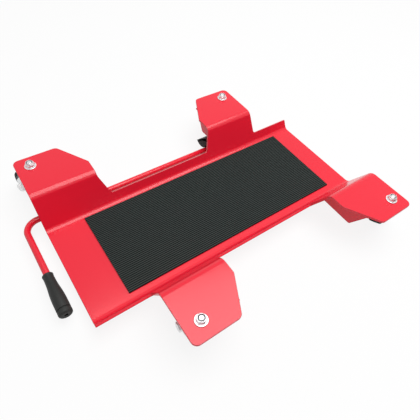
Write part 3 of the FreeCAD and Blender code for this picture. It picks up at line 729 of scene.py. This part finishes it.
# %% [markdown]
# ## Bolts, nuts and washers
# A thread is a helix, but at this size rings of the same pitch look alike and leave a closed mesh, so the
# thread is a zigzag in a turned profile. A nut is a hexagon whose corners were turned off at 30 degrees: a
# six-sided cylinder is intersected with a turned double cone, and a countersunk bore is cut out of it. The
# cone's number of sides keeps its vertices off the hexagon's corners, where the cut would not close. The nuts
# on the tabs are lock nuts: their corners fall more steeply, and a round collar on the hexagon is rolled over
# a nylon ring, which grips the thread.

# %% Threads and hexagons
CHAMFER_SLOPE = math.tan(math.radians(30))
CROWN_SHARE = 0.97
PAST_CORNER = 1.05
CONE_SIDES = 94
THREAD_DEPTH = 0.061
THREAD_PITCH = 0.28
NUT_SINK = 0.9 * MM
NUT_EDGE = 0.2 * MM
NUT_SHARP = math.radians(40)
CUT_PAST = 0.2 * MM


def thread(radius, start, end):
    """Zigzag profile of a thread between two heights."""
    turns = max(2, round((end - start) / (radius * THREAD_PITCH)))
    pitch = (end - start) / turns
    root = radius * (1 - 2 * THREAD_DEPTH)
    line = []
    for turn_count in range(turns):
        line.append((root, start + turn_count * pitch))
        line.append((radius, start + (turn_count + 0.5) * pitch))
    line.append((root, end))
    return line


def boolean(piece, cutter, operation):
    """Cut a piece with another one, which is then removed."""
    apply_modifier(piece, "BOOLEAN", object=cutter, operation=operation, solver="EXACT")
    discard(cutter)


def hexagon(name, flats, height, lower_chamfer, crown_share=CROWN_SHARE, slope=CHAMFER_SLOPE):
    """Hexagon on the Z axis, standing on the ground plane, with its corners turned off."""
    crown = flats / 2 * crown_share
    past = flats / math.sqrt(3) * PAST_CORNER
    drop = (past - crown) * slope
    outline = [(0, height), (crown, height), (past, height - drop)]
    outline += [(past, drop), (crown, 0), (0, 0)] if lower_chamfer else [(past, 0), (0, 0)]
    cone = turned("cone", outline, sides=CONE_SIDES)
    bpy.ops.object.select_all(action="DESELECT")
    bpy.ops.mesh.primitive_cylinder_add(
        vertices=6, radius=flats / math.sqrt(3), depth=height, location=(0, 0, height / 2),
        rotation=(0, 0, math.radians(30)))
    piece = bpy.context.active_object
    piece.name = name
    bpy.ops.object.transform_apply(location=True, rotation=True)
    boolean(piece, cone, "INTERSECT")
    return piece


def nut(name, flats, height, hole):
    """Hexagon nut with a countersunk hole."""
    piece = hexagon(name, flats, height, lower_chamfer=True)
    mouth = hole + NUT_SINK + CUT_PAST
    drill = [(0, -CUT_PAST), (mouth, -CUT_PAST), (hole, NUT_SINK), (hole, height - NUT_SINK),
             (mouth, height + CUT_PAST), (0, height + CUT_PAST)]
    boolean(piece, turned("drill", drill), "DIFFERENCE")
    apply_modifier(piece, "BEVEL", width=NUT_EDGE, segments=2, limit_method="ANGLE", angle_limit=NUT_SHARP)
    return piece


# %% Lock nuts
HEX_SHARE = 0.76
HEX_CROWN = 0.92
HEX_SLOPE = 1.2
HEX_EDGE = 0.15 * MM
COLLAR_SHARE = 0.88
COLLAR_WALL = 0.8 * MM
COLLAR_ROUND = 0.5 * MM
SEAT_OVERLAP = 0.1 * MM
RING_DROP = 0.25 * MM
RING_PLAY = 0.03 * MM


def lock_nut(name, flats, height, hole):
    """Hexagon nut with a round collar, and the nylon ring that sits in it."""
    hex_height = height * HEX_SHARE
    piece = hexagon(name, flats, hex_height, lower_chamfer=False, crown_share=HEX_CROWN, slope=HEX_SLOPE)
    apply_modifier(piece, "BEVEL", width=HEX_EDGE, segments=2, limit_method="ANGLE", angle_limit=NUT_SHARP)
    collar = flats / 2 * COLLAR_SHARE
    seat = collar - COLLAR_WALL
    seat_low = hex_height - SEAT_OVERLAP
    cap = turned("cap", [
        (0, hex_height / 2), (collar, hex_height / 2), (collar, height, COLLAR_ROUND),
        (seat, height, 0.2 * MM), (seat, seat_low), (0, seat_low),
    ], sides=72)
    boolean(piece, cap, "UNION")
    mouth = hole + NUT_SINK + CUT_PAST
    drill = [(0, -CUT_PAST), (mouth, -CUT_PAST), (hole, NUT_SINK), (hole, height + CUT_PAST),
             (0, height + CUT_PAST)]
    boolean(piece, turned("drill", drill), "DIFFERENCE")
    ring_top = height - RING_DROP
    ring = turned(name + "_ring", [
        (hole, hex_height + RING_PLAY), (seat - RING_PLAY, hex_height + RING_PLAY),
        (seat - RING_PLAY, ring_top, 0.15 * MM), (hole, ring_top, 0.4 * MM),
    ], closed=True)
    return piece, ring


# %% Stem nuts and washers on the tabs
STEM_RADIUS = 4 * MM
STEM_FLATS = 13 * MM
WASHER_RADIUS = 9 * MM
WASHER_PLAY = 0.5 * MM
FRONT_NUT_TURN = {"front_left": math.radians(30)}

nuts_low, nuts_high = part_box("caster_nuts")
nut_height = nuts_high.z - nuts_low.z
nut_pattern, ring_pattern = lock_nut("nut_pattern", STEM_FLATS, nut_height, STEM_RADIUS + PLAY)
washer_height = nuts_low.z - tab_top
washer_hole = STEM_RADIUS + WASHER_PLAY
washer_pattern = turned("washer_pattern", [
    (washer_hole, 0), (WASHER_RADIUS, 0, 0.3 * MM), (WASHER_RADIUS, washer_height, 0.6 * MM),
    (washer_hole, washer_height, 0.3 * MM),
], closed=True)
for tab in TABS:
    spot = caster_place[tab].translation
    nut_turn = Matrix.Rotation(FRONT_NUT_TURN.get(tab, 0), 4, "Z")
    nut_place = Matrix.Translation((spot.x, spot.y, nuts_low.z)) @ nut_turn
    dress(copied(nut_pattern, "stem_nut_" + tab, nut_place), "deck", zinc, "zinc_plate", "caster_nuts")
    # The nylon ring is given the dark hub plastic, which also stands in as painted shade for the gap round
    # the stem.
    piece = copied(ring_pattern, "stem_nut_ring_" + tab, nut_place)
    dress(piece, "deck", hub_plastic, "hub_plastic", "caster_nuts")
    piece = copied(washer_pattern, "stem_washer_" + tab, Matrix.Translation((spot.x, spot.y, tab_top)))
    dress(piece, "deck", zinc, "zinc_plate", "caster_washers")
discard(nut_pattern, ring_pattern, washer_pattern)
print("nut height", round(nut_height / MM, 2), "washer height", round(washer_height / MM, 2))

# %% [markdown]
# ## Casters
# Each caster has a threaded king pin, a pressed cup for the ball race, the fork, an axle bolt with its nut,
# and a wheel with a moulded centre and a rubber tread. All four are alike, so each piece is turned once about
# its own axis, at a caster that trails straight back, and copied to the four headings.

# %% King pin and race cup
CUP_SHEET = 2.5 * MM
PIN_HEAD_RADIUS = 8 * MM
PIN_HEAD_HEIGHT = 4 * MM
PIN_CHAMFER = 1.0 * MM
PIN_END_RISE = 0.3 * MM

pin_low, pin_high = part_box("stem_rear_left")
cup_low, cup_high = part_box("top_cup_rear_left")
cup_radius = (cup_high.x - cup_low.x) / 2
head_top = pin_low.z + PIN_HEAD_HEIGHT
pin_pattern = turned("pin_pattern", [
    (0, pin_low.z), (PIN_HEAD_RADIUS, pin_low.z, 2.2 * MM), (PIN_HEAD_RADIUS, head_top, 0.3 * MM),
    (STEM_RADIUS, head_top), *thread(STEM_RADIUS, cup_high.z, pin_high.z - PIN_CHAMFER),
    (STEM_RADIUS - PIN_CHAMFER, pin_high.z - PIN_END_RISE, 0.2 * MM), (0, pin_high.z),
], sides=48)
cup_bore = STEM_RADIUS + PLAY
cup_inside = cup_radius - CUP_SHEET
cup_pattern = turned("cup_pattern", [
    (cup_bore, cup_high.z - CUP_SHEET), (cup_inside, cup_high.z - CUP_SHEET, 1.0 * MM),
    (cup_inside, cup_low.z, 0.5 * MM), (cup_radius, cup_low.z, 0.5 * MM), (cup_radius, cup_high.z, 2.0 * MM),
    (cup_bore, cup_high.z),
], closed=True, sides=72)
for tab in TABS:
    place = caster_place[tab]
    dress(copied(pin_pattern, "king_pin_" + tab, place), "deck", zinc, "zinc_plate", "stem_" + tab)
    dress(copied(cup_pattern, "race_cup_" + tab, place), "deck", zinc, "zinc_plate", "top_cup_" + tab)
discard(pin_pattern, cup_pattern)
print("cup radius", round(cup_radius / MM, 2), "pin height", round((pin_high.z - pin_low.z) / MM, 1))

# %% Wheel centre and tread
WHEEL_RADIUS = 25 * MM
WHEEL_HALF = 11 * MM
BOSS_HALF = 12.5 * MM
BOSS_RADIUS = 10 * MM
RIM_RADIUS = 18.5 * MM
RIM_INSIDE = 15.5 * MM
WEB_HALF = 4.5 * MM
HUB_BORE = 6.1 * MM
SEAM_DEPTH = 0.25 * MM
SEAM_HALF = 0.3 * MM
SEAM_MOUTH = 0.6 * MM
TREAD_DROP = 0.4 * MM
TREAD_ROUND = 3.4 * MM

half_section = [
    (BOSS_RADIUS, BOSS_HALF, 0.8 * MM), (BOSS_RADIUS, WEB_HALF, 1.4 * MM), (RIM_INSIDE, WEB_HALF, 1.4 * MM),
    (RIM_INSIDE, WHEEL_HALF, 0.6 * MM), (RIM_RADIUS, WHEEL_HALF, 0.4 * MM),
]
other_half = [(point[0], -point[1], *point[2:]) for point in reversed(half_section)]
bore_line = [(HUB_BORE, -BOSS_HALF), (HUB_BORE, BOSS_HALF, 0.5 * MM)]
centre_pattern = turned("centre_pattern", bore_line + half_section + other_half, closed=True)
tread_inside = RIM_RADIUS + PLAY
tread_side = WHEEL_RADIUS - TREAD_DROP
seam = WHEEL_RADIUS - SEAM_DEPTH
tread_pattern = turned("tread_pattern", [
    (tread_inside, -WHEEL_HALF), (tread_inside, WHEEL_HALF), (tread_side, WHEEL_HALF, TREAD_ROUND),
    (WHEEL_RADIUS, SEAM_MOUTH), (seam, SEAM_HALF), (seam, -SEAM_HALF), (WHEEL_RADIUS, -SEAM_MOUTH),
    (tread_side, -WHEEL_HALF, TREAD_ROUND),
], closed=True, sides=96)
on_axle = Matrix.Translation((0, trail, wheel_middle.z)) @ Matrix.Rotation(math.radians(90), 4, "Y")
for tab in TABS:
    place = caster_place[tab] @ on_axle
    body = "wheel_" + tab
    piece = copied(centre_pattern, "wheel_centre_" + tab, place)
    dress(piece, body, hub_plastic, "hub_plastic", "wheel_hub_" + tab)
    piece = copied(tread_pattern, "wheel_tread_" + tab, place)
    dress(piece, body, tyre_rubber, "tyre_rubber", "wheel_tyre_" + tab)
discard(centre_pattern, tread_pattern)
print("wheel radius", WHEEL_RADIUS / MM, "height of axle", round(wheel_middle.z / MM, 2))

# %% Axle bolt and nut
AXLE_RADIUS = 4 * MM
AXLE_FLATS = 13 * MM
LEG_OUTSIDE = 15.5 * MM
AXLE_HEAD = 5.3 * MM
AXLE_NUT = 6.5 * MM
AXLE_PAST_NUT = 1.5 * MM
AXLE_PLAIN_END = 3 * MM
AXLE_THREAD_START = 2 * MM
AXLE_TIP = 0.6 * MM
AXLE_TIP_CHAMFER = 0.9 * MM

bolt_pattern = hexagon("bolt_pattern", AXLE_FLATS, AXLE_HEAD, lower_chamfer=False)
settle(bolt_pattern, Matrix.Translation((0, 0, -LEG_OUTSIDE)) @ Matrix.Rotation(math.pi, 4, "X"))
bolt_end = LEG_OUTSIDE + AXLE_NUT + AXLE_PAST_NUT
shank = turned("shank", [
    (0, -LEG_OUTSIDE - MM), (AXLE_RADIUS, -LEG_OUTSIDE - MM), (AXLE_RADIUS, LEG_OUTSIDE - AXLE_PLAIN_END),
    *thread(AXLE_RADIUS, LEG_OUTSIDE - AXLE_THREAD_START, bolt_end - AXLE_TIP),
    (AXLE_RADIUS - AXLE_TIP_CHAMFER, bolt_end), (0, bolt_end),
], sides=40)
boolean(bolt_pattern, shank, "UNION")
axle_nut_pattern = nut("axle_nut_pattern", AXLE_FLATS, AXLE_NUT, AXLE_RADIUS + PLAY)
settle(axle_nut_pattern, Matrix.Translation((0, 0, LEG_OUTSIDE)))
for tab in TABS:
    place = caster_place[tab] @ on_axle
    body = "swivel_" + tab
    dress(copied(bolt_pattern, "wheel_axle_" + tab, place), body, zinc, "zinc_plate", "axle_bolt_" + tab)
    piece = copied(axle_nut_pattern, "wheel_axle_nut_" + tab, place)
    dress(piece, body, zinc, "zinc_plate", "axle_nut_" + tab)
discard(bolt_pattern, axle_nut_pattern)
print("axle ends at", round(bolt_end / MM, 1), "from the wheel's middle")

# %% Race balls and axle sleeves keep their CAD shape
for tab in TABS:
    for node, material in (("race_balls_" + tab, ball_steel), ("axle_sleeve_" + tab, zinc)):
        frame["nodes"][node].data.materials.clear()
        frame["nodes"][node].data.materials.append(material)
print("sleeves and balls keep the CAD mesh")

# %% [markdown]
# ## Washer and split pin on the bar
# The bar is kept in its right bracket by a washer and a split pin. The pin is one wire bent round an eye,
# and it is drawn round here. Its two legs lie side by side through the bar, and spread a little below it.

# %% Turn the washer and bend the pin
WIRE = 0.62 * MM
EYE_RADIUS = 3 * MM
NECK_RADIUS = 1 * MM
LEG_GAP = 0.05 * MM
LEG_SPREAD = math.radians(24)
LEG_TIP = 1.2 * MM
LEG_BEND = 3 * MM
LEG_CLEAR = 0.3 * MM
WIRE_SIDES = 12

wash_low, wash_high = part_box("shaft_washer")
wash_height = wash_high.x - wash_low.x
wash_radius = (wash_high.z - wash_low.z) / 2
washer = turned("bar_washer", [
    (bar_radius + PLAY, 0), (wash_radius, 0, 0.4 * MM), (wash_radius, wash_height, 0.6 * MM),
    (bar_radius + PLAY, wash_height, 0.3 * MM),
], closed=True)
settle(washer, Matrix.Translation((wash_low.x, bar_y, bar_z)) @ Matrix.Rotation(math.radians(90), 4, "Y"))
dress(washer, "brake_lever", zinc, "zinc_plate", "shaft_washer")

split_low, split_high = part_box("split_pin")
split_x = (split_low.x + split_high.x) / 2
shoulder = math.acos((WIRE + LEG_GAP + NECK_RADIUS) / (EYE_RADIUS + NECK_RADIUS))
eye_z = split_high.z - EYE_RADIUS - WIRE
neck_z = eye_z - (EYE_RADIUS + NECK_RADIUS) * math.sin(shoulder)
spread_z = bar_z - bar_radius - LEG_CLEAR
side_step = WIRE + LEG_GAP + NECK_RADIUS
bpy.ops.object.select_all(action="DESELECT")
bpy.ops.mesh.primitive_circle_add(
    vertices=WIRE_SIDES, radius=WIRE, location=(split_x, bar_y - WIRE - LEG_GAP, spread_z), fill_type="NGON")
pin = bpy.context.active_object
pin.name = "bar_split_pin"
bpy.ops.object.transform_apply(location=True)
bpy.ops.object.mode_set(mode="EDIT")
bpy.ops.mesh.select_all(action="SELECT")
bpy.ops.mesh.extrude_region_move(TRANSFORM_OT_translate={"value": (0, 0, neck_z - spread_z)})
for steps, angle, centre in (
        (5, -shoulder, (split_x, bar_y - side_step, neck_z)),
        (28, math.pi + 2 * shoulder, (split_x, bar_y, eye_z)),
        (5, -shoulder, (split_x, bar_y + side_step, neck_z))):
    bpy.ops.mesh.spin(steps=steps, angle=angle, center=centre, axis=(1, 0, 0))
bpy.ops.mesh.extrude_region_move(TRANSFORM_OT_translate={"value": (0, 0, spread_z - neck_z)})
for side in (-1, 1):
    pick(pin, lambda co: abs(co.z - spread_z) < SAME_PLACE and side * (co.y - bar_y) > -SAME_PLACE)
    bend_centre = (split_x, bar_y + side * LEG_BEND, spread_z)
    bpy.ops.mesh.spin(steps=3, angle=-side * LEG_SPREAD, center=bend_centre, axis=(1, 0, 0))
    out = Vector((0, side * math.sin(LEG_SPREAD), -math.cos(LEG_SPREAD))) * LEG_TIP
    bpy.ops.mesh.extrude_region_move(TRANSFORM_OT_translate={"value": out})
bpy.ops.mesh.select_all(action="SELECT")
bpy.ops.mesh.remove_doubles(threshold=SAME_PLACE)
bpy.ops.mesh.normals_make_consistent(inside=False)
bpy.ops.object.mode_set(mode="OBJECT")
dress(pin, "brake_lever", zinc, "zinc_plate", "split_pin")
print("pin", [round(value / MM, 1) for value in pin.dimensions])

# %% [markdown]
# ## Welds
# The gussets, brackets and arms are welded on before the paint goes over them. A bead of weld is a row of
# overlapping ripples, so a small circle is extruded along the joint, and each second ring is drawn in.

# %% Weld beads
BEAD_RADIUS = 2.0 * MM
BEAD_PITCH = 2.6 * MM
BEAD_WAIST = 0.86
BEAD_SINK = 0.35
BEAD_END = 0.5
BEAD_SIDES = 12
ARM_FILLET = 3 * MM
HEIGHT_FIRST = 100


def weld(name, runs):
    """One piece made of several beads, each from a start to an end, lying in the corner beside a plate."""
    beads = []
    for start, end, outward in runs:
        start, end = start + outward * BEAD_RADIUS * BEAD_SINK, end + outward * BEAD_RADIUS * BEAD_SINK
        step = (end - start) / max(3, round((end - start).length / BEAD_PITCH)) / 2
        count = round((end - start).length / step.length)
        bpy.ops.object.select_all(action="DESELECT")
        bpy.ops.mesh.primitive_circle_add(
            vertices=BEAD_SIDES, radius=BEAD_RADIUS * BEAD_END, location=start, fill_type="NGON",
            rotation=step.to_track_quat("Z", "Y").to_euler())
        bead = bpy.context.active_object
        bpy.ops.object.transform_apply(location=True, rotation=True)
        bpy.ops.object.mode_set(mode="EDIT")
        bpy.ops.mesh.select_all(action="SELECT")
        sizes = [BEAD_END] + [1.0 if ring % 2 else BEAD_WAIST for ring in range(1, count)] + [BEAD_END]
        for ring in range(1, count + 1):
            bpy.ops.mesh.extrude_region_move(TRANSFORM_OT_translate={"value": step})
            change = sizes[ring] / sizes[ring - 1]
            bpy.ops.transform.resize(value=(change, change, change), center_override=start + step * ring)
        bpy.ops.mesh.select_all(action="SELECT")
        bpy.ops.mesh.normals_make_consistent(inside=False)
        bpy.ops.object.mode_set(mode="OBJECT")
        beads.append(bead)
    only(beads[0])
    for bead in beads:
        bead.select_set(True)
    bpy.ops.object.join()
    beads[0].name = name
    return beads[0]


def corner(node, key):
    """The vertex of a CAD node for which a key is largest."""
    return max((vertex.co for vertex in frame["nodes"][node].data.vertices), key=key)


for tab in TABS:
    node = "gusset_" + tab
    rear = 1 if tab.startswith("rear") else -1
    low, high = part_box(node)
    toe = corner(node, lambda co: -rear * co.y)
    wall_end = corner(node, lambda co: co.z - rear * co.y)
    tip = corner(node, lambda co: co.z * HEIGHT_FIRST + rear * co.y)
    tab_start = corner(node, lambda co: co.z * HEIGHT_FIRST - rear * co.y)
    runs = []
    for x, side in ((low.x, -1), (high.x, 1)):
        for start, end in ((toe, wall_end), (tab_start, tip)):
            outward = Vector((side, rear * 0.5, -0.5))
            runs.append((Vector((x, start.y, start.z)), Vector((x, end.y, end.z)), outward))
    dress(weld("gusset_weld_" + tab, runs), "deck", red_coat, "red_paint")
for hand in ("left", "right"):
    node = "shaft_bracket_" + hand
    low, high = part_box(node)
    start = corner(node, lambda co: -co.y)
    end = corner(node, lambda co: co.z)
    runs = []
    for x, side in ((low.x, -1), (high.x, 1)):
        runs.append((Vector((x, start.y, start.z)), Vector((x, end.y, end.z)), Vector((side, 0.5, -0.5))))
    dress(weld("bracket_weld_" + hand, runs), "deck", red_coat, "red_paint")
    low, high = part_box("brake_arm_" + hand)
    thickness = high.x - low.x
    weld_radius = bar_radius + ARM_FILLET
    ring = turned("arm_weld_" + hand, [
        (bar_radius, -ARM_FILLET), (bar_radius, thickness + ARM_FILLET), (weld_radius, thickness, 0.8 * MM),
        (weld_radius, 0, 0.8 * MM),
    ], closed=True, sides=40)
    settle(ring, Matrix.Translation((low.x, bar_y, bar_z)) @ Matrix.Rotation(math.radians(90), 4, "Y"))
    dress(ring, "brake_lever", red_coat, "red_paint")
print("welds on", len(TABS), "gussets, two brackets and two arms")
